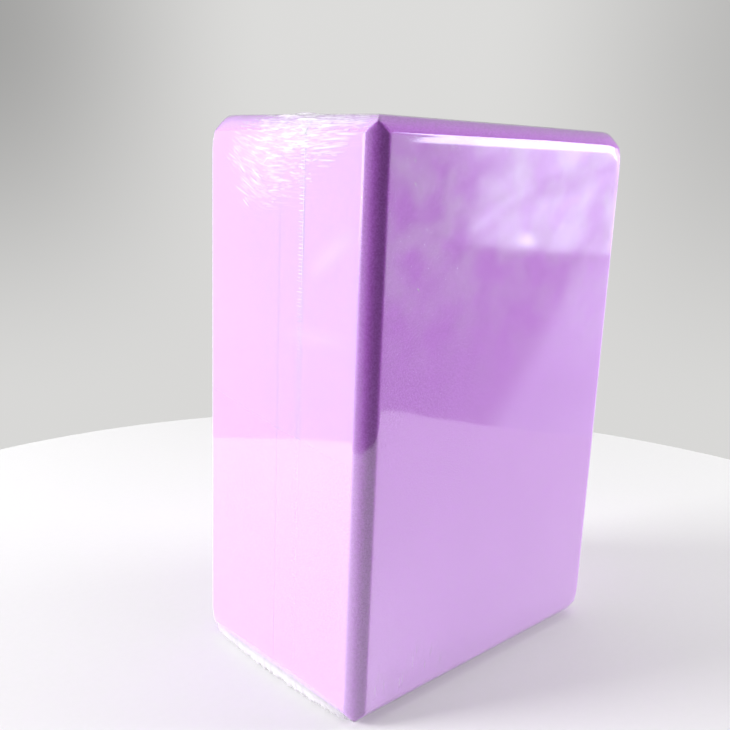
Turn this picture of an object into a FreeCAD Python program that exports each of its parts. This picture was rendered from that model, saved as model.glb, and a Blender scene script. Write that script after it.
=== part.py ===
# Yoga block: two foam boards glued face to face, wrapped in one folded web of clear shrink film
# that a trim seal closes on three sides.
#
# The block stands on one small end. The origin is at the middle of that end, on the film's outside.
# X runs across the wide faces, Y through the thickness with the front at -Y, Z up. Millimetres.
import FreeCAD, Part
import math
import os

Vector = FreeCAD.Vector

# Foam: a 9 x 6 x 4 inch block made of two boards
block_width = 152.4
block_height = 228.6
board_thickness = 50.65
bevel_leg = 6.1  # reach of the soft bevel along both faces of an edge
bevel_crown = 0.8  # how far the middle of the bevel swells beyond a straight cut
bevel_shoulder = 3.0  # radius that leads the bevel into the faces

# Glue between the boards
glue_thickness = 0.3
glue_setback = 0.4  # the glue stops this far inside the foam's skin

# Film
film_clearance = 0.1  # air between the foam and the film
film_thickness = 0.25

# Trim seal: a bead of melted film where the two edges of the web were cut and joined
seal_forward = 14.0  # distance of the seal from the middle of the thickness, towards the front
seal_width = 1.2
seal_proud = 0.35  # height of the bead above the film
seal_chamfer = 0.3

# Gathers: pleats that hang in swags between the two ends of each short edge
side_swags = 4  # swags on a narrow side
end_swags = 2  # swags on the upper end
swag_drop = 8.0  # depth of the first swag
swag_step = 7.0  # how much deeper each further swag hangs
swag_share = 0.75  # share of a swag's span that carries pleats
pleat_spacing = 10.0
long_pleat = 11.0
short_pleat = 7.0
pleat_width = 1.2
pleat_height = 0.5

block_thickness = 2 * board_thickness + glue_thickness
film_inside = film_clearance
film_outside = film_clearance + film_thickness
middle_z = film_outside + block_height / 2


def bevel_points(leg, shoulder):
    """Return the ends and middles of the three arcs over a bevel, as distances inward from both faces.

    The crown passes through the two ends of a straight cut with this leg. A shoulder arc on each side,
    tangent to the crown and to the face, takes the crease away.
    """
    half_chord = leg / math.sqrt(2)
    crown_radius = (half_chord**2 + bevel_crown**2) / (2 * bevel_crown)
    centre = leg / 2 + (crown_radius - bevel_crown) / math.sqrt(2)
    shoulder_inset = centre - math.sqrt((crown_radius - shoulder) ** 2 - (centre - shoulder) ** 2)
    lean = math.atan2(centre - shoulder, centre - shoulder_inset)

    def on_shoulder(angle):
        return (shoulder_inset - shoulder * math.cos(angle), shoulder - shoulder * math.sin(angle))

    face_end = (shoulder_inset, 0)
    shoulder_middle = on_shoulder((lean + math.pi / 2) / 2)
    crown_end = on_shoulder(lean)
    crown_inset = centre - crown_radius / math.sqrt(2)
    return (face_end, shoulder_middle, crown_end, (crown_inset, crown_inset))


def bevelled_face(half_u, half_v, leg, shoulder, place):
    """Return a rectangle with soft bevels at its corners; place turns (u, v) into a point."""
    half_bevel = bevel_points(leg, shoulder)
    other_half = [(inset_v, inset_u) for inset_u, inset_v in reversed(half_bevel[:-1])]
    bevel = list(half_bevel) + other_half
    corners = []
    for side_u, side_v in ((-1, 1), (-1, -1), (1, -1), (1, 1)):
        points = [place(side_u * (half_u - in_u), side_v * (half_v - in_v)) for in_u, in_v in bevel]
        corners.append(points if side_u != side_v else points[::-1])
    edges = []
    for corner, following in zip(corners, corners[1:] + corners[:1]):
        for first in (0, 2, 4):
            edges.append(Part.Arc(*corner[first : first + 3]).toShape())
        edges.append(Part.LineSegment(corner[-1], following[0]).toShape())
    return Part.Face(Part.Wire(edges))


def half_sizes(grow):
    """Return half the block's width, thickness and height with every side moved out by grow."""
    return (block_width / 2 + grow, block_thickness / 2 + grow, block_height / 2 + grow)


def leg_of(grow):
    """Return the bevel's reach on the same surface moved out by grow."""
    return bevel_leg + grow * (2 - math.sqrt(2))


def side_profile(grow, start_y, depth):
    """Return the block's outline in XZ, moved out by grow, as a prism along Y."""
    half_x, _, half_z = half_sizes(grow)
    leg = leg_of(grow)
    shoulder = bevel_shoulder + grow
    face = bevelled_face(half_x, half_z, leg, shoulder, lambda u, v: Vector(u, start_y, middle_z + v))
    return face.extrude(Vector(0, depth, 0))


def bevelled_block(grow):
    """Return the block moved out by grow, with its twelve bevels mitred at the corners."""
    half_x, half_y, half_z = half_sizes(grow)
    leg = leg_of(grow)
    shoulder = bevel_shoulder + grow
    upright = bevelled_face(half_x, half_y, leg, shoulder, lambda u, v: Vector(u, v, middle_z - half_z))
    across = bevelled_face(half_y, half_z, leg, shoulder, lambda u, v: Vector(-half_x, u, middle_z + v))
    block = upright.extrude(Vector(0, 0, 2 * half_z))
    block = block.common(across.extrude(Vector(2 * half_x, 0, 0)))
    return block.common(side_profile(grow, -half_y, 2 * half_y))


def foam_board(side):
    """Return the board in front of the glue (side -1) or behind it (side 1)."""
    half_x, half_y, half_z = half_sizes(0)
    start_y = glue_thickness / 2 if side > 0 else -half_y
    corner = Vector(-half_x, start_y, middle_z - half_z)
    slab = Part.makeBox(block_width, board_thickness, block_height, corner)
    return bevelled_block(0).common(slab)


def glue_sheet():
    """Return the thin layer of glue between the boards."""
    return side_profile(-glue_setback, -glue_thickness / 2, glue_thickness)


def seal_ring(proud, chamfer):
    """Return a bead all round the outline in XZ, with its two outer edges cut back."""
    rear_y = -seal_forward - seal_width / 2
    ring = side_profile(film_outside + proud, rear_y, seal_width)
    if chamfer:
        rims = [edge for edge in ring.Edges if edge.BoundBox.YLength < seal_width / 2]
        ring = ring.makeChamfer(min(chamfer, 0.9 * proud, 0.45 * seal_width), rims)
    return ring.cut(side_profile(film_inside, rear_y, seal_width))


def seal_run(ends, proud, chamfer=0):
    """Return the stretch of the bead between two corners, mitred to its neighbours."""
    half_x, _, half_z = half_sizes(film_outside)
    rear_y = -seal_forward - seal_width / 2
    outline = []
    for reach, order in ((bevel_leg, ends), (-bevel_leg, ends[::-1])):
        for side_x, side_z in order:
            outline.append(Vector(side_x * (half_x + reach), rear_y, middle_z + side_z * (half_z + reach)))
    sector = Part.Face(Part.makePolygon(outline + outline[:1]))
    return seal_ring(proud, chamfer).common(sector.extrude(Vector(0, seal_width, 0)))


def pleat(length):
    """Return one crease of the film: a ridge along X on the plane z = 0, level over its middle third."""
    tail = Vector(-length / 2, 0, 0)
    head = Vector(length / 2, 0, 0)
    level = (-length / 6, length / 6)
    crest = [Vector(x, 0, pleat_height) for x in level]
    left = [Vector(x, pleat_width / 2, 0) for x in level]
    right = [Vector(x, -pleat_width / 2, 0) for x in level]
    outlines = [[tail, left[0], left[1], head, right[1], right[0]]]
    for toe in (left, right):
        outlines.append([tail, toe[0], crest[0]])
        outlines.append([toe[0], toe[1], crest[1], crest[0]])
        outlines.append([toe[1], head, crest[1]])
    faces = [Part.Face(Part.makePolygon(outline + outline[:1])) for outline in outlines]
    return Part.Solid(Part.Shell(faces))


def gather(origin, down, normal, swags):
    """Return the pleats of one gather: origin is the middle of the edge, down leads away from it."""
    along = Vector(0, 1, 0)
    half_span = block_thickness / 2 - bevel_leg
    pleats = []
    for swag in range(swags):
        depth = swag_drop + swag * swag_step
        count = int(2 * swag_share * half_span / pleat_spacing) - swag % 2
        for index in range(count):
            u = (index - (count - 1) / 2) * pleat_spacing
            slope = -2 * depth * u / half_span**2
            heading = (along + down * slope).normalize()
            turn = FreeCAD.Rotation(heading, normal.cross(heading), normal, "ZXY")
            place = origin + along * u + down * (depth * (1 - (u / half_span) ** 2))
            length = short_pleat if (index + swag) % 2 else long_pleat
            pleats.append(pleat(length).transformed(FreeCAD.Placement(place, turn).toMatrix()))
    return pleats


def film_gathers():
    """Return all pleats: on both narrow sides at both ends, and on the upper end."""
    half_x, _, half_z = half_sizes(film_outside)
    leg = leg_of(film_outside)
    pleats = []
    for side in (-1, 1):
        outward = Vector(side, 0, 0)
        for end in (-1, 1):
            origin = Vector(side * half_x, 0, middle_z + end * (half_z - leg))
            pleats += gather(origin, Vector(0, 0, -end), outward, side_swags)
        origin = Vector(side * (half_x - leg), 0, middle_z + half_z)
        pleats += gather(origin, -outward, Vector(0, 0, 1), end_swags)
    return pleats


def film_web(gaps):
    """Return the film round the block, with its gathers, open where the seal lies."""
    skin = bevelled_block(film_outside).cut(bevelled_block(film_inside))
    return skin.multiFuse(film_gathers()).cut(gaps)


# Corners of the outline in XZ, and the two corners that each run of the seal joins
upper_left = (-1, 1)
upper_right = (1, 1)
lower_left = (-1, -1)
lower_right = (1, -1)
top_ends = (upper_left, upper_right)
side_ends = (lower_left, upper_left)
bottom_ends = (lower_right, lower_left)

# The block stands on the lower run and presses it flush with the film
seal_gaps = [seal_run(top_ends, seal_proud), seal_run(side_ends, seal_proud), seal_run(bottom_ends, 0)]

parts = {
    "foam_layer_front": foam_board(-1),
    "foam_layer_rear": foam_board(1),
    "adhesive_layer": glue_sheet(),
    "film_wrap": film_web(seal_gaps),
    "top_seal": seal_run(top_ends, seal_proud, seal_chamfer),
    "side_seal": seal_run(side_ends, seal_proud, seal_chamfer),
    "bottom_seal": seal_run(bottom_ends, 0),
}

os.makedirs("parts", exist_ok=True)
for name, shape in parts.items():
    shape.exportStep(f"parts/{name}.step")
    box = shape.BoundBox
    print(name, len(shape.Solids), "solids", shape.isValid(), round(shape.Volume, 2), "mm3", box)
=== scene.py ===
import math
from typing import NamedTuple, Sequence

import bmesh
import bpy
import numpy as np
from mathutils import Matrix, Vector, noise


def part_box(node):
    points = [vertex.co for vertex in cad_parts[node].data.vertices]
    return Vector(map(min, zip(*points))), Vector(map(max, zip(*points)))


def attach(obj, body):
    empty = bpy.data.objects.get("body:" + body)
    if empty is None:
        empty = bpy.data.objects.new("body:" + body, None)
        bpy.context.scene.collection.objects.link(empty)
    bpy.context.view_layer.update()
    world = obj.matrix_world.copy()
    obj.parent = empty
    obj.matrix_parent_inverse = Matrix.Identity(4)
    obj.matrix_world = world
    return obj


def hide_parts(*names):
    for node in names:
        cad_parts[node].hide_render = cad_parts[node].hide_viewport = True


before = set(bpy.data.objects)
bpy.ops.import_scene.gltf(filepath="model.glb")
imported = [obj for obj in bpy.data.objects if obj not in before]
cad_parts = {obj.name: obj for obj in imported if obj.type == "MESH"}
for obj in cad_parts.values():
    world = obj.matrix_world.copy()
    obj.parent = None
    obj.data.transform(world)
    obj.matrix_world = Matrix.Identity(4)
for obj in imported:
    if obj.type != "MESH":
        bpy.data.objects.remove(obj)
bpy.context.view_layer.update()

MM = 0.001

# Foam block, from the frame
block_low = np.array(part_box("foam_layer_front")[0])
block_high = np.array(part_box("foam_layer_rear")[1])
glue_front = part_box("foam_layer_front")[1].y
glue_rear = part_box("foam_layer_rear")[0].y
block_centre = (block_low + block_high) / 2
block_half = (block_high - block_low) / 2

# Soft bevel along every edge
bevel_leg = 6.1 * MM
bevel_crown = 0.8 * MM
bevel_shoulder = 3.0 * MM
bevel_steps = 9  # rows across half a bevel

# Foam boards
foam_step = 4.0 * MM
seam_round = 0.12 * MM  # radius of a board's edge beside the glue
foam_unevenness = 0.06 * MM
unevenness_length = 25 * MM
corner_round = 12.6 * MM  # sum of the three insets at which a corner's tip is rounded off
corner_blend = 2.0 * MM
crisp_round = 7.2 * MM  # the same at the two left corners of the front, which the film leaves crisp
crisp_blend = 0.4 * MM

# Glue between the boards, just under the foam's skin
glue_setback = 0.04 * MM
glue_speckle = 1.5 * MM

# Film
film_gap = 0.1 * MM
film_thickness = 0.25 * MM
film_step = 2.5 * MM
seen_step = 0.28 * MM  # finest mesh in the gather that the photograph shows
other_step = 0.5 * MM  # finest mesh in the other gathers
ruffle_step = 0.8 * MM
refine_rounds = 4

# Seal
seal_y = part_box("side_seal")[0].y / 2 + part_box("side_seal")[1].y / 2
seal_width = 0.25 * MM
seal_proud = 0.08 * MM


class Bevel:
    """The soft bevel of the block's edges, on its surface moved out by grow.

    A crown arc in the middle runs into a shoulder arc at each face. Insets and drops are distances inward
    from the two faces of the edge.
    """

    def __init__(self, grow):
        leg = bevel_leg + grow * (2 - math.sqrt(2))
        half_chord = leg / math.sqrt(2)
        self.shoulder = bevel_shoulder + grow
        self.radius = (half_chord**2 + bevel_crown**2) / (2 * bevel_crown)
        self.centre = leg / 2 + (self.radius - bevel_crown) / math.sqrt(2)
        rise = self.centre - self.shoulder
        self.reach = self.centre - math.sqrt((self.radius - self.shoulder) ** 2 - rise**2)
        self.lean = math.atan2(rise, self.centre - self.reach)
        self.turn = self.reach - self.shoulder * math.cos(self.lean)
        self.middle = self.centre - self.radius / math.sqrt(2)

    def insets(self):
        """Return the rows across half the bevel, from its middle to the face, evenly turned."""
        angles = np.linspace(math.pi / 4, math.pi / 2, bevel_steps + 1)
        on_crown = self.centre - self.radius * np.cos(angles)
        on_shoulder = self.reach - self.shoulder * np.cos(angles)
        return np.where(angles < self.lean, on_crown, on_shoulder)

    def drop(self, inset):
        """Return how far the surface lies below a face at this distance from the neighbouring face."""
        across_crown = np.clip(self.centre - inset, 0, self.radius)
        on_crown = self.centre - np.sqrt(self.radius**2 - across_crown**2)
        across_shoulder = np.clip(self.reach - inset, 0, self.shoulder)
        on_shoulder = self.shoulder - np.sqrt(self.shoulder**2 - across_shoulder**2)
        return np.where(inset < self.turn, on_crown, on_shoulder)

    def arc(self, inset):
        """Return the way along the surface from the bevel's middle to this inset."""
        rows = self.insets()
        drops = self.drop(rows)
        ways = np.concatenate([[0], np.cumsum(np.hypot(np.diff(rows), np.diff(drops)))])
        return np.interp(inset, rows, ways) + np.maximum(inset - self.reach, 0)


def rows_along(half, bevel, step):
    """Return the lattice rows along one axis of the block, closer together across the bevels."""
    rim = half - bevel.insets()
    count = round(2 * rim[-1] / step)
    flat = np.linspace(-rim[-1], rim[-1], count + 1)
    return np.concatenate([-rim, flat[1:-1], rim[::-1]])


def box_skin(rows_x, rows_y, rows_z):
    """Return the points and the outward quads of a box that is divided by rows along its three axes."""
    shape = (len(rows_x), len(rows_y), len(rows_z))
    index = np.indices(shape)
    outside = np.zeros(shape, bool)
    for axis in range(3):
        outside |= (index[axis] == 0) | (index[axis] == shape[axis] - 1)
    number = np.full(shape, -1)
    number[outside] = np.arange(outside.sum())
    columns = [rows[index[axis][outside]] for axis, rows in enumerate((rows_x, rows_y, rows_z))]
    quads = []
    for axis in range(3):
        for end in (0, -1):
            sheet = np.take(number, end, axis)
            corners = [sheet[:-1, :-1], sheet[1:, :-1], sheet[1:, 1:], sheet[:-1, 1:]]
            if (axis == 1) == (end == -1):
                corners.reverse()
            quads.append(np.stack(corners, -1).reshape(-1, 4))
    return np.stack(columns, 1), np.concatenate(quads)


def bevelled(points, half, bevel):
    """Move the points of a box, whose sides lie at the middles of the bevels, out onto the block."""
    depth = bevel.drop(half - np.abs(points))
    moved = points.copy()
    for axis in range(3):
        others = [other for other in range(3) if other != axis]
        deepest = depth[:, others].max(axis=1)
        side = np.isclose(np.abs(points[:, axis]), half[axis] - bevel.middle, atol=1e-7)
        level = np.sign(points[:, axis]) * (half[axis] - deepest)
        moved[side, axis] = level[side]
    crisp = (moved[:, 0] < 0) & (moved[:, 1] < 0)
    rounding = np.where(crisp, crisp_round, corner_round) + 3 * (half[0] - block_half[0])
    blend = np.where(crisp, crisp_blend, corner_blend)
    spare = ((half - np.abs(moved)).sum(axis=1) - rounding) / blend
    cut = np.where(spare > 5, 0, blend * np.logaddexp(0, -spare))
    return moved - np.sign(moved) * cut[:, None] / 3


def smooth_noise(points, length, seed):
    """Return soft noise between about -1 and 1, with features of this length."""
    shift = Vector((17.3 * seed, 5.1 * seed, 9.7 * seed))
    return np.array([noise.noise(Vector(point) / length + shift) for point in points])


def new_mesh(name, points, faces):
    """Return mesh data with these points and faces."""
    mesh = bpy.data.meshes.new(name)
    mesh.from_pydata([tuple(point) for point in points], [], [tuple(face) for face in faces])
    mesh.update()
    return mesh


def add_object(name, data):
    """Return a new object in the scene."""
    made = bpy.data.objects.new(name, data)
    bpy.context.scene.collection.objects.link(made)
    return made


def add_mesh(name, points, faces, material):
    """Return a new smooth mesh object at the origin."""
    mesh = new_mesh(name, points, faces)
    mesh.polygons.foreach_set("use_smooth", [True] * len(mesh.polygons))
    mesh.materials.append(material)
    return add_object(name, mesh)


def vertex_normals(points, faces):
    """Return a unit normal for each point of a mesh."""
    mesh = new_mesh("normals", points, faces)
    normals = np.zeros(len(points) * 3)
    mesh.vertices.foreach_get("normal", normals)
    bpy.data.meshes.remove(mesh)
    return normals.reshape(-1, 3)


# Node trees


def add_node(tree, kind, inputs=(), **settings):
    """Return a new node; inputs maps socket names or numbers to values or to sockets to link."""
    made = tree.nodes.new(kind)
    for name, value in settings.items():
        setattr(made, name, value)
    for name, value in dict(inputs).items():
        if isinstance(value, bpy.types.NodeSocket):
            tree.links.new(value, made.inputs[name])
        else:
            made.inputs[name].default_value = value
    return made


def maths(tree, operation, first, second=0.0, third=0.0):
    """Return the result of one Math node."""
    made = add_node(tree, "ShaderNodeMath", {0: first, 1: second, 2: third}, operation=operation)
    return made.outputs[0]


def ramp_between(tree, value, low, high, start=0.0, end=1.0):
    """Return a smooth step of value from start at low to end at high."""
    inputs = {"Value": value, "From Min": low, "From Max": high, "To Min": start, "To Max": end}
    return add_node(tree, "ShaderNodeMapRange", inputs, interpolation_type="SMOOTHSTEP").outputs[0]


def new_material(name):
    """Return a material and its emptied node tree."""
    material = bpy.data.materials.new(name)
    material.use_nodes = True
    material.node_tree.nodes.clear()
    return material, material.node_tree


def show(tree, shader):
    """Link a shader to its material's output."""
    add_node(tree, "ShaderNodeOutputMaterial", {"Surface": shader})


def principled(tree, colour, roughness, more=()):
    """Return a Principled shader; more holds further inputs by name."""
    inputs = {"Base Color": colour, "Roughness": roughness, **dict(more)}
    return add_node(tree, "ShaderNodeBsdfPrincipled", inputs).outputs[0]


def place_noise(tree, size):
    """Return noise in object space with features of this size."""
    place = add_node(tree, "ShaderNodeTexCoord").outputs["Object"]
    inputs = {"Vector": place, "Scale": 1 / size, "Detail": 2.0}
    return add_node(tree, "ShaderNodeTexNoise", inputs).outputs["Fac"]


def mixed_colour(tree, factor, first, second):
    """Return a colour between two colours."""
    made = add_node(tree, "ShaderNodeMix", {0: factor, 6: first, 7: second}, data_type="RGBA")
    return made.outputs[2]


# Foam: its grain, and the faint clouds and the cells in its surface
grain_size = 0.65 * MM
foam_cloud_size = 30 * MM
cell_size = 0.5 * MM
cell_depth = 0.15 * MM
foam_shades = ((0.463, 0.118, 0.612, 1), (0.489, 0.130, 0.640, 1))
foam_light = (0.613, 0.192, 0.785, 1)


def foam_material():
    """Closed-cell foam: matte purple with a fine grain and a faint cloudiness."""
    material, tree = new_material("foam")
    cloudy = ramp_between(tree, place_noise(tree, foam_cloud_size), 0.3, 0.7)
    grainy = ramp_between(tree, place_noise(tree, grain_size), 0.3, 0.7)
    colour = mixed_colour(tree, grainy, mixed_colour(tree, cloudy, *foam_shades), foam_light)
    cells = place_noise(tree, cell_size)
    bump = add_node(tree, "ShaderNodeBump", {"Height": cells, "Strength": 0.2, "Distance": cell_depth})
    more = {"Normal": bump.outputs[0], "Specular IOR Level": 0.35}
    show(tree, principled(tree, colour, 0.72, more))
    return material


def glue_material():
    """Set contact glue: dull, a little darker than the foam."""
    material, tree = new_material("glue")
    speckle = place_noise(tree, glue_speckle)
    colour = mixed_colour(tree, speckle, (0.40, 0.105, 0.42, 1), (0.46, 0.13, 0.49, 1))
    show(tree, principled(tree, colour, 0.55))
    return material


milky_film = (0.89, 0.88, 0.92, 1)
# painted shade: a grey milky colour that darkens the film where it ruffles down to the floor
painted_ruffle_shade = (0.66, 0.64, 0.67, 1)


def film_material(name, haze, head_on, roughness=0.05):
    """Clear film with a mirror gloss, which is head_on when seen straight and grows at a flat angle.

    haze is the function that adds the nodes for how milky the film is.
    """
    material, tree = new_material(name)
    facing = add_node(tree, "ShaderNodeLayerWeight", {"Blend": 0.5}).outputs["Facing"]
    glancing = maths(tree, "POWER", facing, 5.0)
    gloss = maths(tree, "MULTIPLY_ADD", glancing, 1 - head_on, head_on)
    clear = add_node(tree, "ShaderNodeBsdfTransparent", {"Color": (0.99, 0.99, 1.0, 1)})
    amount = haze(tree)
    # painted shade: the milky colour turns grey by the ruffle share, where the film bridges the lower bevel
    ruffle_shade_share = add_node(tree, "ShaderNodeAttribute", attribute_name="ruffle").outputs["Fac"]
    white = mixed_colour(tree, ruffle_shade_share, milky_film, painted_ruffle_shade)
    milky = principled(tree, white, 0.3)
    veil = add_node(tree, "ShaderNodeMixShader", {0: amount, 1: clear.outputs[0], 2: milky})
    mirror = principled(tree, (1, 1, 1, 1), roughness, {"Metallic": 1.0})
    whole = add_node(tree, "ShaderNodeMixShader", {0: gloss, 1: veil.outputs[0], 2: mirror})
    show(tree, whole.outputs[0])
    return material


def haze_from_mesh(tree):
    """Return the milkiness that a mesh carries point by point."""
    return add_node(tree, "ShaderNodeAttribute", attribute_name="haze").outputs["Fac"]


# Fine streaks of milky film between the creases of a gather
streak_length = 9 * MM
streak_width = 1 * MM
streak_haze = 0.55


def haze_with_streaks(tree):
    """Return the outer film's milkiness: what its mesh carries, and fine streaks that follow the swags."""
    place = add_node(tree, "ShaderNodeAttribute", attribute_name="streaks").outputs["Vector"]
    parts = add_node(tree, "ShaderNodeSeparateXYZ", {0: place}).outputs
    along = maths(tree, "MULTIPLY", parts["X"], 1 / streak_length)
    across = maths(tree, "MULTIPLY", parts["Y"], 1 / streak_width)
    drape = add_node(tree, "ShaderNodeCombineXYZ", {0: along, 1: across}).outputs[0]
    inputs = {"Vector": drape, "Scale": 1.0, "Detail": 2.0}
    lines = add_node(tree, "ShaderNodeTexNoise", inputs).outputs["Fac"]
    streaks = maths(tree, "MULTIPLY", ramp_between(tree, lines, 0.50, 0.66, 0.0, streak_haze), parts["Z"])
    carried = haze_from_mesh(tree)
    return maths(tree, "MULTIPLY_ADD", maths(tree, "SUBTRACT", 1.0, carried), streaks, carried)


foam = foam_material()
glue = glue_material()
film = film_material("film", haze_with_streaks, head_on=0.13)
film_inside = film_material("film_inside", haze_from_mesh, head_on=0.005)
melted_film = film_material("seal", haze_from_mesh, head_on=0.06, roughness=0.2)


# Foam boards


def foam_board(name, side):
    """Add the board in front of the glue (side -1) or behind it (side 1)."""
    bevel = Bevel(0)
    cut = glue_front if side < 0 else glue_rear
    rim = block_half[1] - bevel.insets()
    count = round((rim[-1] - abs(cut)) / foam_step)
    flat = np.linspace(rim[-1], abs(cut) + 3 * seam_round, count)
    seam = abs(cut) + seam_round * (1 - np.sin(np.linspace(0, math.pi / 2, 4)))
    rows_y = side * np.concatenate([rim, flat[1:], seam])
    rows_x = rows_along(block_half[0], bevel, foam_step)
    rows_z = rows_along(block_half[2], bevel, foam_step)
    box, faces = box_skin(rows_x, np.sort(rows_y), rows_z)
    points = bevelled(box, block_half, bevel)
    depth = np.clip(seam_round - np.abs(points[:, 1] - cut), 0, seam_round)
    rounding = seam_round - np.sqrt(seam_round**2 - depth**2)
    for axis in (0, 2):
        on_side = np.isclose(np.abs(box[:, axis]), block_half[axis] - bevel.middle, atol=1e-7)
        points[on_side, axis] -= (np.sign(points[:, axis]) * rounding)[on_side]
    inner = np.isclose(points[:, 1], cut)
    uneven = np.where(inner, 0, foam_unevenness * (smooth_noise(points, unevenness_length, 1) - 1) / 2)
    points += vertex_normals(points, faces) * uneven[:, None]
    return add_mesh(name, points + block_centre, faces, foam)


def glue_line():
    """Add the thin layer of glue, which shows as a faint line between the boards."""
    half = block_half - glue_setback
    bevel = Bevel(-glue_setback)
    rows_x = rows_along(half[0], bevel, foam_step)
    rows_z = rows_along(half[2], bevel, foam_step)
    box, faces = box_skin(rows_x, np.array([glue_front, glue_rear]), rows_z)
    return add_mesh("glue_line", bevelled(box, half, bevel) + block_centre, faces, glue)


# Film

film_out = film_gap + film_thickness
film_half = block_half + film_out
film_bevel = Bevel(film_out)

# Main creases of the gather at the upper left, as the photograph shows them: y and drop below the film's
# upper end at the start, then at the end, then width and height
main_creases = MM * np.array((
    (33.7, 14.8, 27, 17.7, 0.7, 0.22),
    (30.4, 12, 25, 14.8, 0.7, 0.2),
    (26.2, 18.6, 21.2, 22.7, 1, 0.36),
    (26.2, 23.2, 14.1, 29.4, 0.8, 0.36),
    (28.7, 27.3, 17.9, 31.5, 0.8, 0.36),
    (23.7, 32, 19.1, 35.2, 0.7, 0.25),
    (19.1, 19.4, 10.8, 24.8, 1, 0.38),
    (19.6, 23.2, 11.6, 27, 0.8, 0.34),
    (25, 16, 17.5, 18.6, 0.7, 0.24),
    (18.3, 13.6, 15, 15.2, 0.7, 0.25),
    (11.2, 19, 6.6, 15.2, 0.7, 0.25),
    (9, 16, 1.6, 16.5, 0.7, 0.3),
    (8.3, 19, -3.4, 18.6, 0.8, 0.34),
    (4.1, 24, -8, 24, 0.9, 0.36),
    (7.5, 28.2, -0.5, 27.7, 0.7, 0.28),
    (-5, 20.7, -10.5, 21.5, 0.8, 0.34),
    (-10.5, 18.6, -13.8, 19, 0.8, 0.34),
    (-1.3, 12, -20, 9.8, 0.9, 0.4),
    (-14.6, 12.7, -36.7, 10.7, 1, 0.42),
    (-14, 16, -18.4, 16.5, 0.7, 0.3),
    (-20, 16, -31.3, 16, 0.7, 0.32),
    (-14.6, 22.7, -18.4, 22.7, 0.7, 0.26),
    (-19, 9.4, -39, 8.2, 0.9, 0.4),
    (15, 10, 4, 9.4, 0.9, 0.36),
    (0, 5, -18, 4, 0.9, 0.42),
    (-7.5, 2.8, -40, 2.3, 0.8, 0.38),
    (-29, 7, -43, 7, 0.8, 0.36),
))

# Two broad soft folds lower down on the same side, in the same order
broad_folds = MM * np.array((
    (-18, 58, -44, 38, 7, 0.22),
    (-2, 81, -44, 78, 5, 0.12),
))

# High creases over the bevel's upper half: u and s at the start, then at the end, then width and height
crest_creases = MM * np.array((
    (9, 3, -8, 2.4, 1.2, 0.65),
    (2, 5, -14, 4.6, 1.2, 0.6),
    (-4, 1, -20, 0.6, 1, 0.45),
))

crease_bend = 0.1 * MM  # usual depth of a crease's curve
companion_width = 0.45 * MM  # of the finer creases beside a main one

# Patches of crinkled film in the gather seen in the photograph and in the other upper one: u and s of the
# middle and half sizes along u and s in millimetres, then strength
seen_patches = (
    (-7, -6, 18, 5, 1.3),
    (8, -10, 12, 6, 0.5),
    (-15, 1, 22, 4, 2),
    (20, -13, 10, 8, 0.45),
    (2, -17, 16, 8, 0.38),
    (10, -27, 16, 7, 0.18),
)
upper_patches = (
    (0, -7, 20, 7, 0.9),
    (0, 3, 22, 5, 0.6),
    (19, -13, 9, 8, 0.45),
    (-19, -13, 9, 8, 0.45),
)

patch_haze = 0.10
least_crinkled = 0.09  # no stroke reaches out to less crinkled film
seen_strokes = 900
upper_strokes = 420

# Swags, in which strokes and streaks hang: lowest at this u, curved by so much per metre to the rear and to
# the front, and straight again at the bevel
swag_middle = 4 * MM
swag_fade = 12 * MM
seen_swags = (13.0, 2.25)
upper_swags = (12.0, 10.0)

# The film bridges the lower bevels of the narrow sides, in ruffles
bridge_lift = 3.2 * MM
bridge_spread = 3.8 * MM
bridge_half = 45 * MM
bridge_haze = 0.75
ruffle_clearance = 0.15 * MM


class Crease:
    """A raised fold of the film, on the strip of a gather."""

    def __init__(self, start, end, width, height, haze=0.0, bend=0.0):
        self.middle = (np.array(start) + np.array(end)) / 2
        along = np.array(end) - np.array(start)
        self.length = math.hypot(*along)
        self.along = along / self.length
        self.width = width
        self.height = height
        self.haze = haze
        self.bend = bend

    def near(self, strip):
        """Return which points of the strip the fold can reach."""
        return (np.abs(strip - self.middle) < self.length / 2 + 2 * self.width).all(axis=1)

    def shape(self, strip, widen=1.0):
        """Return the fold's share of its full height at points of the strip."""
        offset = strip - self.middle
        way = 2 * (offset @ self.along) / (self.length * widen)
        across = offset @ np.array([-self.along[1], self.along[0]]) + self.bend * (way**2 - 0.5)
        ends = np.clip(1 - np.abs(way) ** 2.5, 0, 1) ** 1.5
        return ends * np.exp(-((across / (0.5 * self.width * widen)) ** 2))


def crinkled_share(strip, patches):
    """Return how crinkled the film is at points of a strip, from 0 to 1."""
    share = np.zeros(len(strip))
    for u, s, half_u, half_s, strength in patches:
        offset = (strip / MM - (u, s)) / (half_u, half_s)
        share += strength * np.exp(-(offset**2).sum(axis=1))
    return np.clip(share, 0, 1)


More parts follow.
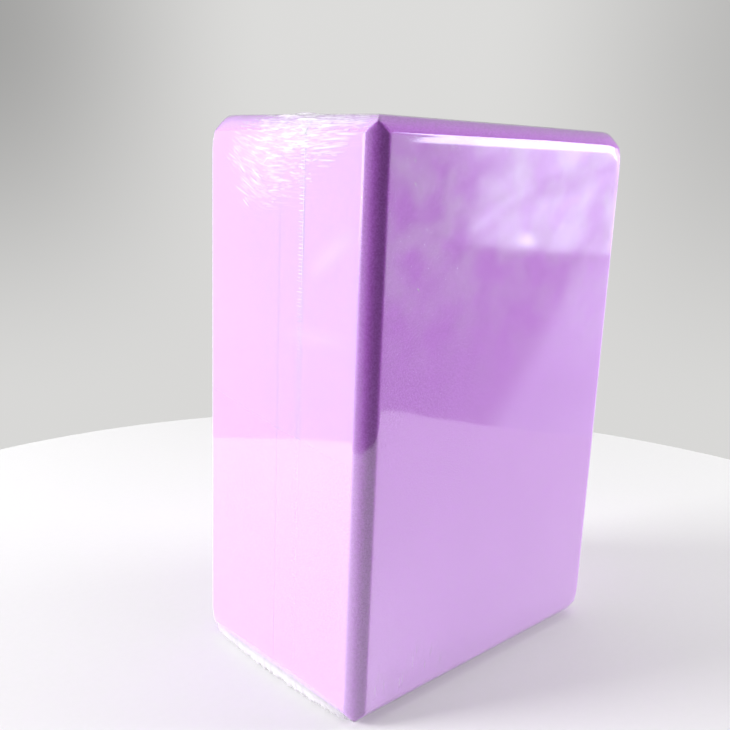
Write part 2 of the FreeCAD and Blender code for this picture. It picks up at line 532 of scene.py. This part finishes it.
class Gather(NamedTuple):
    """The creased film round one short edge of the block: side -1 is left, end 1 is up.

    Its points are unrolled onto a flat strip: u runs along the edge and s across it, 0 at the middle of the
    bevel and negative down the narrow side. Short strokes fill the patches.
    """

    side: int
    end: int
    finest: float
    creases: Sequence = ()
    patches: Sequence = ()
    strokes: Sequence = ()
    swags: tuple = (0.0, 0.0)

    def drape(self, strip):
        """Return where points of the strip lie with the swags pulled straight, and how crinkled they are."""
        u, s = strip.T
        swag = np.where(u > swag_middle, self.swags[0], self.swags[1])
        level = s - swag * (u - swag_middle) ** 2 * np.clip(-s / swag_fade, 0, 1)
        return np.stack([u, level, crinkled_share(strip, self.patches)], 1)

    def strip(self, box):
        """Return the points of the film's box on the strip, and which of them are on it."""
        on_side = np.isclose(box[:, 0], self.side * (film_half[0] - film_bevel.middle), atol=1e-7)
        on_end = np.isclose(box[:, 2], self.end * (film_half[2] - film_bevel.middle), atol=1e-7)
        down = -film_bevel.arc(film_half[2] - self.end * box[:, 2])
        inward = film_bevel.arc(film_half[0] - self.side * box[:, 0])
        strip = np.stack([box[:, 1], np.where(on_side, down, inward)], 1)
        return strip, np.flatnonzero(on_side | on_end)

    def ruffle(self, strip):
        """Return how far the film stands off a lower bevel, which it bridges on its way to the floor."""
        if self.end > 0:
            return np.zeros(len(strip))
        u = strip[:, 0] / MM
        wave = np.sin(1.15 * u + 2.1 * np.sin(0.31 * u + self.side))
        wave = 0.86 + 0.09 * wave + 0.05 * np.sin(2.7 * u + self.side)
        across = np.exp(-((strip[:, 1] / bridge_spread) ** 2))
        ends = np.clip(1 - (strip[:, 0] / bridge_half) ** 2, 0, 1) ** 0.5
        return bridge_lift * wave * across * ends


class FrontFilm(Gather):
    """The film on the front face: u runs along X and s up, both from the face's middle."""

    def strip(self, box):
        """Return the points of the film's box on the front, and which of them are on it."""
        on_front = np.isclose(box[:, 1], film_bevel.middle - film_half[1], atol=1e-7)
        return box[:, [0, 2]], np.flatnonzero(on_front)


def down_the_side(creases):
    """Return creases of the narrow side on its edge's strip, with s in place of the drops."""
    placed = creases.copy()
    placed[:, [1, 3]] = -film_bevel.arc(creases[:, [1, 3]])
    return placed


def seen_creases(random):
    """Return the main creases at the upper left, each with finer ones beside it, the folds and the crests."""
    creases = []
    for *ends, width, height in down_the_side(main_creases):
        start = np.array(ends[:2])
        end = np.array(ends[2:])
        bend = random.normal(0, crease_bend)
        creases.append(Crease(start, end, 0.6 * width, 0.6 * height, 0.6, bend))
        for _ in range(random.integers(2, 5)):
            shift = (end - start) * random.uniform(-0.4, 0.4)
            beside = np.array([0, random.choice([-1, 1]) * random.uniform(0.8, 2.2) * MM])
            shrink = (end - start) * random.uniform(0.1, 0.35)
            first = start + shift + beside + shrink
            last = end + shift + beside - shrink
            bend = random.normal(0, crease_bend)
            creases.append(Crease(first, last, companion_width, 0.4 * height, 0.3, bend))
    for *ends, width, height in down_the_side(broad_folds):
        creases.append(Crease(ends[:2], ends[2:], width, height, 0.4 * height / MM))
    for *ends, width, height in crest_creases:
        creases.append(Crease(ends[:2], ends[2:], width, height, 0.5))
    return creases


def swag_creases(random):
    """Return main creases in five rows of swags between the ends of an edge, set out in millimetres."""
    creases = []
    half_span = 42.0
    for depth in range(9, 28, 4):
        u = -30.0 + random.uniform(0, 10)
        while u < 30:
            length = random.uniform(5, 12)
            slope = 2 * depth * u / half_span**2
            drop = 6 + depth * (1 - (u / half_span) ** 2) + random.normal(0, 1.0)
            run = np.array([1, slope]) / math.hypot(1, slope) * length / 2
            if random.uniform() < 0.6:
                middle = np.array([u, -drop])
                width = random.uniform(0.7, 1.0) * MM
                height = random.uniform(0.2, 0.4) * MM
                creases.append(Crease((middle - run) * MM, (middle + run) * MM, width, height, 0.4))
            u += length + random.uniform(1, 6)
    return creases


def short_strokes(patches, count, swags, random):
    """Return short soft folds that fill the patches, denser where a patch is stronger, along the swags."""
    weights = np.array([half_u * half_s * strength for _, _, half_u, half_s, strength in patches])
    strokes = []
    for index in random.choice(len(patches), count, p=weights / weights.sum()):
        u, s, half_u, half_s, strength = patches[index]
        u = np.clip(random.normal(u, 0.62 * half_u), -40, 40) * MM
        s = random.normal(s, 0.62 * half_s) * MM
        swag = swags[0] if u > swag_middle else swags[1]
        slope = 2 * swag * (u - swag_middle) * np.clip(-s / swag_fade, 0, 1) + random.normal(0, 0.10)
        half_length = random.uniform(1.2, 4.5) * MM * (0.6 + 0.4 * min(strength, 1))
        run = np.array([1, slope]) / math.hypot(1, slope) * half_length
        start = np.array([u, s]) - run
        end = np.array([u, s]) + run
        if crinkled_share(np.array([start, end]), patches).min() < least_crinkled:
            continue
        width = random.uniform(0.36, 0.65) * MM
        height = random.uniform(0.03, 0.10) * MM
        haze = random.uniform(0.12, 0.5) * (0.4 + 0.6 * min(strength, 1))
        strokes.append(Crease(start, end, width, height, haze, random.normal(0, crease_bend)))
    return strokes


def gather_of(side, end):
    """Return the gather at one short edge."""
    random = np.random.default_rng(40 + 2 * side + 5 * end)
    if end < 0:
        return Gather(side, end, other_step)
    if side < 0:
        creases = seen_creases(random)
        strokes = short_strokes(seen_patches, seen_strokes, seen_swags, random)
        return Gather(side, end, seen_step, creases, seen_patches, strokes, seen_swags)
    creases = swag_creases(random)
    strokes = short_strokes(upper_patches, upper_strokes, upper_swags, random)
    return Gather(side, end, other_step, creases, upper_patches, strokes, upper_swags)


# Specks in the film of the front, tiny bumps whose glints are painted as milky white dots: x and height above
# the floor
front_specks = MM * np.array(((-58.4, 214.0), (-57.8, 206.3), (-53.6, 170.2)))


def front_film():
    """Return the front's film: fine upright folds low at the left, set out in millimetres, and specks."""
    random = np.random.default_rng(90)
    creases = []
    for x in np.arange(-66.0, -28.0, 1.5):
        height = random.uniform(10, 22) + 0.10 * (x + 66)
        reach = random.uniform(6, 0.8 * height)
        x = x + random.normal(0, 0.4)
        low = np.array([x, height - reach / 2]) * MM
        high = np.array([x + random.normal(0.4, 0.4), height + reach / 2]) * MM
        low[1] -= block_centre[2]
        high[1] -= block_centre[2]
        width = random.uniform(0.6, 0.9) * MM
        creases.append(Crease(low, high, width, random.uniform(0.01, 0.02) * MM, random.uniform(0.03, 0.10)))
    for x, z in front_specks:
        place = np.array([x, z - block_centre[2]])
        reach = np.array([-0.2, 0.9]) * MM
        # painted highlight: a milky white dot over a very low bump stands for each speck's glint
        creases.append(Crease(place - reach, place + reach, 0.7 * MM, 0.02 * MM, 0.5))
    return FrontFilm(-1, 1, seen_step, creases)


gathers = [gather_of(side, end) for side in (-1, 1) for end in (-1, 1)]
gathers.append(front_film())


def streak_field(box):
    """Return where the points of the film's box lie in the draped gathers, and how crinkled they are."""
    places = np.zeros((len(box), 3))
    for gather in gathers:
        strip, members = gather.strip(box)
        drape = gather.drape(strip[members])
        more = drape[:, 2] > places[members, 2]
        places[members[more]] = drape[more]
    return places


def crease_field(box):
    """Return the lift, the haze and the ruffling of the film at the points of its box; the ruffling is the
    share of painted shade in the film's milky colour.
    """
    lift = np.zeros(len(box))
    haze = np.zeros(len(box))
    ruffle_shade_share = np.zeros(len(box))
    for gather in gathers:
        strip, members = gather.strip(box)
        ruffle = gather.ruffle(strip[members])
        local_lift = np.zeros(len(members))
        local_haze = patch_haze * crinkled_share(strip[members], gather.patches)
        for crease in (*gather.creases, *gather.strokes):
            near = np.flatnonzero(crease.near(strip[members]))
            shape = crease.shape(strip[members][near])
            local_lift[near] = np.maximum(local_lift[near], crease.height * shape)
            local_haze[near] = np.maximum(local_haze[near], crease.haze * shape)
        bridging = np.clip(2 * ruffle / bridge_lift, 0, 1)
        local_haze = np.maximum(local_haze, bridge_haze * bridging)
        lift[members] = np.maximum(lift[members], ruffle + local_lift)
        haze[members] = np.maximum(haze[members], local_haze)
        ruffle_shade_share[members] = np.maximum(ruffle_shade_share[members], bridging)
    return lift, haze, ruffle_shade_share


def wanted_steps(box):
    """Return how fine the mesh has to be at the points of the film's box."""
    steps = np.full(len(box), film_step)
    for gather in gathers:
        strip, members = gather.strip(box)
        strip = strip[members]
        local = np.where(gather.ruffle(strip) > 0.02 * bridge_lift, ruffle_step, film_step)
        crinkled = crinkled_share(strip, gather.patches) > 0.08
        local = np.where(crinkled, np.minimum(local, gather.finest), local)
        for crease in gather.creases:
            if crease.width > film_step:
                continue
            near = np.flatnonzero(crease.near(strip))
            footprint = near[crease.shape(strip[near], widen=1.5) > 0.03]
            local[footprint] = np.minimum(local[footprint], max(gather.finest, 0.3 * crease.width))
        steps[members] = np.minimum(steps[members], local)
    return steps


def refined_box():
    """Return the film's box as points and faces, with finer faces under the creases."""
    rows = [rows_along(half, film_bevel, film_step) for half in film_half]
    points, faces = box_skin(*rows)
    mesh = bmesh.new()
    for point in points:
        mesh.verts.new(point)
    mesh.verts.ensure_lookup_table()
    for face in faces:
        mesh.faces.new([mesh.verts[index] for index in face])
    for _ in range(refine_rounds):
        edges = list(mesh.edges)
        ends = np.array([[edge.verts[0].co, edge.verts[1].co] for edge in edges])
        lengths = np.linalg.norm(ends[:, 0] - ends[:, 1], axis=1)
        wanted = np.full(len(edges), film_step)
        for share in (0.0, 0.25, 0.5, 0.75, 1.0):
            wanted = np.minimum(wanted, wanted_steps(ends[:, 0] * (1 - share) + ends[:, 1] * share))
        cut = [edge for edge, long in zip(edges, lengths > 1.4 * wanted) if long]
        bmesh.ops.subdivide_edges(mesh, edges=cut, cuts=1, use_grid_fill=True)
    mesh.verts.index_update()
    points = np.array([vertex.co for vertex in mesh.verts])
    faces = [[vertex.index for vertex in face.verts] for face in mesh.faces]
    mesh.free()
    return points, faces


# Slight unevenness of the stretched film, and how milky it is where it has shrunk most, on the narrow sides
wave_height = 0.04 * MM
wave_length = 32 * MM
ripple_height = 0.008 * MM  # only in the upper part, where the film is slack
ripple_length = 13 * MM
slack_low = 70 * MM  # above the block's middle, as is veil_low
slack_rise = 25 * MM
calm_edge = 8 * MM  # width of the film beside an edge that has no waves
calm_fade = 20 * MM
side_haze = 0.33
front_haze = 0.17  # on both wide faces
edge_haze = 0.3  # along the bevels of the short edges
edge_reach = 5 * MM
painted_bounce_veil = 0.16  # painted light: a milky veil on the wide faces that grows towards the floor, for light bounced off the table
low_height = 150 * MM
haze_cloud_size = 14 * MM
fine_cloud_size = 5 * MM
veil_low = 10 * MM  # the wide faces are cloudy above this
veil_rise = 80 * MM


def add_layer(piece, name, amounts):
    """Write a number or a vector for each point of a mesh."""
    kind, key = ("FLOAT", "value") if amounts.ndim == 1 else ("FLOAT_VECTOR", "vector")
    layer = piece.data.attributes.new(name, kind, "POINT")
    layer.data.foreach_set(key, amounts.ravel())


def film_waves(surface):
    """Return how far the stretched film waves outward at points of its smooth surface."""
    slack = np.clip((surface[:, 2] - slack_low) / slack_rise, 0, 1)
    waves = wave_height * (1 + smooth_noise(surface, wave_length, 3))
    waves += slack * ripple_height * (1 + smooth_noise(surface, ripple_length, 8))
    off_nearest_edge = np.sort(film_half - np.abs(surface), axis=1)[:, 1]
    return waves * np.clip((off_nearest_edge - calm_edge) / calm_fade, 0, 1)


def film_veil(surface, normals):
    """Return how milky the stretched film is at points of its smooth surface, creases apart, with painted
    light from the table's bounce as a veil on the wide faces that grows towards the floor.
    """
    clouds = 0.5 + smooth_noise(surface, haze_cloud_size, 5)
    clouds += 0.5 * smooth_noise(surface, fine_cloud_size, 6)
    upper = np.clip((surface[:, 2] - veil_low) / veil_rise, 0, 1)
    cloudiness = np.where(surface[:, 1] < 0, 1.1, 0.5) * np.clip(clouds, 0, 1)
    facing_side = np.clip(4 * np.abs(normals[:, 0]) - 3, 0, 1)
    facing_front = np.clip(16 * np.abs(normals[:, 1]) - 15, 0, 1)
    low = np.clip(1 - (surface[:, 2] + block_centre[2]) / low_height, 0, 1)
    veil = side_haze * facing_side * (1 - 0.2 * low)
    veil += front_haze * facing_front * (0.7 + cloudiness * upper)
    off_edge = np.hypot(film_half[0] - np.abs(surface[:, 0]), film_half[2] - np.abs(surface[:, 2]))
    on_edge = np.clip(2 - off_edge / edge_reach, 0, 1) * np.clip(1.5 - 3 * np.abs(normals[:, 1]), 0, 1)
    veil = np.maximum(veil, edge_haze * on_edge)
    # painted light: the veil low on the wide faces stands in for light bounced up off the table
    return veil + painted_bounce_veil * low * np.clip(2 * np.abs(normals[:, 1]), 0, 1)


def film_wrap():
    """Add the film: a closed sheet round the foam, whose outer wall carries the creases."""
    box, faces = refined_box()
    surface = bevelled(box, film_half, film_bevel)
    normals = vertex_normals(surface, faces)
    creases, haze, ruffle_shade_share = crease_field(box)
    haze = 1 - (1 - haze) * (1 - film_veil(surface, normals))
    underneath = normals[:, 2] < -0.97
    lift = np.where(underneath, 0, creases + film_waves(surface))
    outer = surface + normals * lift[:, None]
    floor = np.where(lift > 0.2 * MM, ruffle_clearance, 0) - block_centre[2]
    outer[:, 2] = np.maximum(outer[:, 2], floor)

    inner_half = block_half + film_gap
    inner_bevel = Bevel(film_gap)
    inner_box, inner_faces = box_skin(*[rows_along(half, inner_bevel, foam_step) for half in inner_half])
    inner = bevelled(inner_box, inner_half, inner_bevel)
    turned = [tuple(len(outer) + index for index in reversed(face)) for face in inner_faces]
    piece = add_mesh("film", np.concatenate([outer, inner]) + block_centre, faces + turned, film)
    piece.data.materials.append(film_inside)
    sides = [0] * len(faces) + [1] * len(turned)
    piece.data.polygons.foreach_set("material_index", sides)
    add_layer(piece, "haze", np.concatenate([haze, np.zeros(len(inner))]))
    # the ruffle share carries the painted shade of the bridging film
    add_layer(piece, "ruffle", np.concatenate([ruffle_shade_share, np.zeros(len(inner))]))
    add_layer(piece, "streaks", np.concatenate([streak_field(box), np.zeros(inner.shape)]))
    return piece


# Seal: a thin uneven bead with short ticks of pinched film beside it, both fainter low down
bead_haze = 0.5
seal_step = 1.35 * MM  # between two ticks
tick_half_width = 0.22 * MM
tick_half_height = 0.13 * MM
fade_low = 130 * MM
fade_height = 50 * MM


def fading(points, least):
    """Return the share of its strength that a seal keeps at points round the block's middle."""
    return np.clip((points[:, 2] + block_centre[2] - fade_low) / fade_height, least, 1)


def tube_mesh(centres, across, outward, half_widths, half_heights, sides=8):
    """Return the points and faces of a closed elliptical tube along centres."""
    points = []
    for centre, normal, half_width, half_height in zip(centres, outward, half_widths, half_heights):
        for step in range(sides):
            angle = 2 * math.pi * step / sides
            sideways = across * half_width * math.cos(angle)
            points.append(centre + sideways + normal * half_height * math.sin(angle))
    faces = []
    for row in range(len(centres) - 1):
        for step in range(sides):
            following = (step + 1) % sides
            first = row * sides
            faces.append((first + step, first + following, first + sides + following, first + sides + step))
    last = (len(centres) - 1) * sides
    faces.append(tuple(range(sides - 1, -1, -1)))
    faces.append(tuple(range(last, last + sides)))
    return points, faces


def seal_path(axis, side):
    """Return points along a seal's run, and the film's outward direction at each of them.

    axis is the axis that the run follows, 0 or 2, and side says on which side of the block it lies.
    """
    other = 2 - axis
    along = rows_along(film_half[axis], film_bevel, seal_step)
    centres = np.zeros((len(along), 3))
    centres[:, axis] = along
    centres[:, other] = side * (film_half[other] - film_bevel.drop(film_half[axis] - np.abs(along)))
    centres[:, 1] = seal_y
    tangents = np.gradient(centres, axis=0)
    outward = np.cross(tangents, (0, 1, 0))
    outward /= np.linalg.norm(outward, axis=1)[:, None]
    outward *= np.sign(outward[len(along) // 2, other] * side)
    return centres, outward


def seal_run(name, axis, side, proud, ticks, seed):
    """Add one run of the seal; a run that isn't proud lies inside the film's thickness."""
    random = np.random.default_rng(seed)
    centres, outward = seal_path(axis, side)
    centres[:, 1] += smooth_noise(centres, 6 * MM, seed) * 0.15 * MM
    swell = 1 + 0.35 * smooth_noise(centres, 3 * MM, seed + 1)
    if axis == 2:
        swell *= fading(centres, 0.25)
    sunk = centres if proud else centres - outward * film_thickness / 2
    half_heights = swell * (proud if proud else 0.3 * film_thickness)
    points, faces = tube_mesh(sunk, np.array([0, 1, 0]), outward, swell * seal_width / 2, half_heights)
    bead = len(points)
    strength = [bead_haze] * bead
    for index in range(len(centres)):
        if not ticks or random.uniform() < 0.1:
            continue
        reach = random.uniform(2.2, 3.6) * MM
        lean = random.normal(0, 0.12) * MM
        tangent = np.cross(outward[index], (0, 1, 0))
        tips = np.linspace(-0.3, 1.0, 5)
        places = [centres[index] + np.array([0, 1, 0]) * reach * tip + tangent * lean * tip for tip in tips]
        swelling = np.sin(np.linspace(0.15, math.pi - 0.15, 5))
        sizes = (tick_half_width * swelling, tick_half_height * swelling)
        extra, quads = tube_mesh(places, tangent, [outward[index]] * 5, *sizes, sides=6)
        faces += [tuple(corner + len(points) for corner in quad) for quad in quads]
        points += extra
        strength += [random.uniform(0.3, 0.65)] * len(extra)
    points = np.array(points)
    fade = fading(points, 0.12)
    fade[:bead] = 1
    piece = add_mesh(name, points + block_centre, faces, melted_film)
    add_layer(piece, "haze", np.array(strength) * fade)
    return piece


# Pieces


def stand_for(piece, node):
    """Let a piece ride on the only body and stand for a CAD node, whose part it hides."""
    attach(piece, "root")
    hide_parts(node)


for name, side in (("front", -1), ("rear", 1)):
    board = foam_board("foam_" + name, side)
    stand_for(board, "foam_layer_" + name)

stand_for(glue_line(), "adhesive_layer")
stand_for(film_wrap(), "film_wrap")
stand_for(seal_run("seal_side", 2, -1, seal_proud, ticks=True, seed=5), "side_seal")
stand_for(seal_run("seal_top", 0, 1, seal_proud, ticks=True, seed=6), "top_seal")
stand_for(seal_run("seal_bottom", 0, -1, 0, ticks=False, seed=7), "bottom_seal")


# Stage: a round pale table, a grey backdrop and three large soft lamps

table_radius = 0.388
table_centre = (-0.016, -0.033)
table_thickness = 0.02

# The table's edge stands out at the right front, as the line mirrored in the block shows: direction from the
# table's centre in degrees, and how far
edge_directions = (-64, -55, -50, -46, -40)
edge_bulges = (0.0, 0.034, 0.034, 0.012, 0.0)
table_paleness = 0.165  # added to what the camera and the film's mirror see of the table


def add_table():
    """Add the round table top with a soft rim."""
    rim = 4 * MM
    profile = []
    for angle in np.linspace(0, math.pi / 2, 5):
        profile.append((table_radius - rim + rim * math.sin(angle), -rim + rim * math.cos(angle)))
    profile.append((table_radius, -table_thickness))
    turns = 360
    points = []
    for step in range(turns):
        angle = 2 * math.pi * step / turns - math.pi
        bulge = np.interp(math.degrees(angle), edge_directions, edge_bulges)
        for radius, height in profile:
            x = table_centre[0] + (radius + bulge) * math.cos(angle)
            y = table_centre[1] + (radius + bulge) * math.sin(angle)
            points.append((x, y, height))
    ring = len(profile)
    faces = []
    for step in range(turns):
        following = (step + 1) % turns
        for row in range(ring - 1):
            near = step * ring + row
            far = following * ring + row
            faces.append((near, near + 1, far + 1, far))
    faces.append([step * ring for step in range(turns)])
    faces.append([step * ring + ring - 1 for step in reversed(range(turns))])
    material, tree = new_material("table")
    speckle = place_noise(tree, 3 * MM)
    colour = mixed_colour(tree, speckle, (0.65, 0.65, 0.65, 1), (0.67, 0.67, 0.67, 1))
    matte = principled(tree, colour, 0.9, {"Specular IOR Level": 0.1})
    rays = add_node(tree, "ShaderNodeLightPath").outputs
    seen = maths(tree, "MAXIMUM", rays["Is Camera Ray"], rays["Is Glossy Ray"])
    seen = maths(tree, "MAXIMUM", seen, rays["Is Transmission Ray"])
    paleness = maths(tree, "MULTIPLY", seen, table_paleness)
    glow = add_node(tree, "ShaderNodeEmission", {"Color": (1, 0.98, 1, 1), "Strength": paleness})
    show(tree, add_node(tree, "ShaderNodeAddShader", {0: matte, 1: glow.outputs[0]}).outputs[0])
    return add_mesh("table", points, faces, material)


add_table()

# Camera, as it stood for the photograph
camera_place = (-0.2837, -0.2687, 0.2164)
camera_yaw = math.radians(43.39)  # from +Y towards +X
camera_pitch = math.radians(13.32)  # below the horizon
camera_roll = math.radians(2.27)
image_width = 730
focal_pixels = 896


def add_camera():
    """Add the camera and make it the scene's own."""
    data = bpy.data.cameras.new("camera")
    data.sensor_width = 36
    data.lens = data.sensor_width * focal_pixels / image_width
    data.clip_start = 0.01
    turn = Matrix.Rotation(-camera_yaw, 4, "Z")
    turn = turn @ Matrix.Rotation(math.pi / 2 - camera_pitch, 4, "X")
    turn = turn @ Matrix.Rotation(camera_roll, 4, "Z")
    camera = add_object("camera", data)
    camera.matrix_world = Matrix.Translation(camera_place) @ turn
    bpy.context.scene.camera = camera


def add_softbox(name, azimuth, elevation, distance, width, height, radiance):
    """Add a large soft lamp; azimuth is in degrees from -Y towards +X, and radiance 1 shows as white."""
    data = bpy.data.lights.new(name, "AREA")
    data.shape = "RECTANGLE"
    data.size = width
    data.size_y = height
    data.energy = radiance * math.pi * width * height
    lamp = add_object(name, data)
    turn = math.radians(azimuth)
    rise = math.radians(elevation)
    flat = math.cos(rise)
    direction = Vector((math.sin(turn) * flat, -math.cos(turn) * flat, math.sin(rise)))
    lamp.location = Vector(block_centre) + direction * distance
    lamp.rotation_euler = direction.to_track_quat("Z", "Y").to_euler()
    lamp.visible_camera = False
    lamp.visible_glossy = False


add_camera()
add_softbox("left_softbox", azimuth=-121, elevation=11.5, distance=2.4, width=1.0, height=1.0, radiance=40)
add_softbox("right_softbox", azimuth=57, elevation=5, distance=2.4, width=1.2, height=0.9, radiance=31)
add_softbox("overhead_softbox", azimuth=0, elevation=84, distance=2.0, width=1.4, height=1.4, radiance=1.4)


class Panel(NamedTuple):
    """A pale panel that the film mirrors, in degrees of azimuth and elevation.

    A panel leans when its sides move with elevation, and tilts when its lower edge moves with azimuth.
    """

    left: float
    right: float
    low: float
    high: float
    strength: float
    soft: float  # half width of the blurred sides and upper edge
    edge: float = 0.3  # the same for the lower edge
    lean: float = 0.0
    pivot: float = 0.0  # elevation at which a leaning panel has its left and right as given
    tilt: float = 0.0
    clouds: float = 0.0


panels = (
    Panel(-132, -98, -5, 40, strength=2.2, soft=3, edge=5),
    Panel(45.9, 61, 1.5, 30, strength=4.5, soft=0.6, edge=0.12, lean=0.26, pivot=1, tilt=-0.03),
    Panel(51.4, 52, -4.6, -1.4, strength=1.2, soft=0.4, lean=1.1, pivot=-3),
    Panel(50, 70, -5.5, 8, strength=1.6, soft=2.4, clouds=0.32),
    Panel(56.8, 75, -19, -5.5, strength=0.6, soft=1, lean=0.46, pivot=-6.5),
    Panel(56.8, 75, -12, -5.5, strength=0.3, soft=1, edge=3, lean=0.46, pivot=-6.5),
    Panel(50, 66, 0, 30, strength=0.65, soft=3, edge=2.5),
    Panel(52.9, 53.4, -5.2, -4.7, strength=6, soft=0.5),
    Panel(60, 120, 25, 80, strength=0.12, soft=8, edge=6),
    Panel(66, 125, -22, 8, strength=0.15, soft=3, edge=3),
)


def panel_light(tree, azimuth, elevation, panel):
    """Return the light of one panel in the direction looked at."""
    above = maths(tree, "SUBTRACT", elevation, panel.pivot)
    leaned = maths(tree, "MULTIPLY_ADD", above, -panel.lean, azimuth)
    beside = maths(tree, "SUBTRACT", azimuth, panel.left)
    tilted = maths(tree, "MULTIPLY_ADD", beside, -panel.tilt, elevation)
    light = panel.strength
    for angle, limit, blur in (
        (leaned, panel.left, panel.soft),
        (leaned, panel.right, -panel.soft),
        (tilted, panel.low, panel.edge),
        (elevation, panel.high, -panel.soft),
    ):
        light = maths(tree, "MULTIPLY", ramp_between(tree, angle, limit - blur, limit + blur), light)
    if panel.clouds:
        rising = maths(tree, "MULTIPLY", maths(tree, "ADD", azimuth, elevation), 0.20)
        falling = maths(tree, "MULTIPLY", maths(tree, "SUBTRACT", azimuth, elevation), 0.52)
        place = add_node(tree, "ShaderNodeCombineXYZ", {0: rising, 1: falling}).outputs[0]
        inputs = {"Vector": place, "Scale": 1.0, "Detail": 5.0, "Roughness": 0.6}
        cloud = add_node(tree, "ShaderNodeTexNoise", inputs).outputs["Fac"]
        mottle = ramp_between(tree, cloud, 0.36, 0.64, 1 - panel.clouds, 1 + panel.clouds)
        light = maths(tree, "MULTIPLY", light, mottle)
    return light


# Room: the backdrop's paleness, how much darker its upper corners are, and the dim side behind the camera
backdrop_paleness = 0.69
dark_left_corner = 0.36
dark_right_corner = 0.24
dim_room = 0.05


def add_world():
    """Add the grey backdrop beyond the table, the dim room behind the camera and the pale panels.

    The camera sees the backdrop on every side. The film mirrors it only ahead, and the panels with it.
    """
    world = bpy.data.worlds.new("surroundings")
    bpy.context.scene.world = world
    world.use_nodes = True
    tree = world.node_tree
    tree.nodes.clear()
    direction = add_node(tree, "ShaderNodeTexCoord").outputs["Generated"]
    parts = add_node(tree, "ShaderNodeSeparateXYZ", {0: direction}).outputs
    degrees = 180 / math.pi
    backward = maths(tree, "MULTIPLY", parts["Y"], -1.0)
    azimuth = maths(tree, "MULTIPLY", maths(tree, "ARCTAN2", parts["X"], backward), degrees)
    elevation = maths(tree, "MULTIPLY", maths(tree, "ARCSINE", parts["Z"]), degrees)

    # Backdrop: darker in its upper corners
    view_azimuth = 180 - math.degrees(camera_yaw)
    aside = maths(tree, "SUBTRACT", view_azimuth, azimuth)
    upper = ramp_between(tree, elevation, -16.0, 7.0)
    dark_left = ramp_between(tree, aside, -6.0, -24.0, 0.0, dark_left_corner)
    dark_right = ramp_between(tree, aside, 6.0, 24.0, 0.0, dark_right_corner)
    axis = (math.sin(camera_yaw), math.cos(camera_yaw), 0.0)
    along_axis = add_node(tree, "ShaderNodeVectorMath", {0: direction, 1: axis}, operation="DOT_PRODUCT")
    ahead = along_axis.outputs["Value"]
    corners = maths(tree, "MULTIPLY", upper, maths(tree, "ADD", dark_left, dark_right))
    corners = maths(tree, "MULTIPLY", corners, ramp_between(tree, ahead, 0.3, 0.8))
    pale = maths(tree, "MULTIPLY_ADD", upper, 0.03, backdrop_paleness)
    backdrop = maths(tree, "SUBTRACT", pale, corners)
    rays = add_node(tree, "ShaderNodeLightPath").outputs
    straight = maths(tree, "MAXIMUM", rays["Is Camera Ray"], rays["Is Transmission Ray"])
    shown = maths(tree, "MAXIMUM", ramp_between(tree, ahead, -0.1, 0.6), straight)
    light = maths(tree, "MULTIPLY_ADD", shown, maths(tree, "SUBTRACT", backdrop, dim_room), dim_room)
    gleam = 0.0
    for panel in panels:
        gleam = maths(tree, "ADD", panel_light(tree, azimuth, elevation, panel), gleam)
    gleam = maths(tree, "MULTIPLY", gleam, rays["Is Glossy Ray"])

    room = add_node(tree, "ShaderNodeBackground", {"Color": (1.0, 0.995, 0.98, 1), "Strength": light})
    window = add_node(tree, "ShaderNodeBackground", {"Color": (0.88, 0.92, 1.08, 1), "Strength": gleam})
    whole = add_node(tree, "ShaderNodeAddShader", {0: room.outputs[0], 1: window.outputs[0]})
    add_node(tree, "ShaderNodeOutputWorld", {"Surface": whole.outputs[0]})


add_world()
bpy.context.scene.view_settings.view_transform = "Standard"
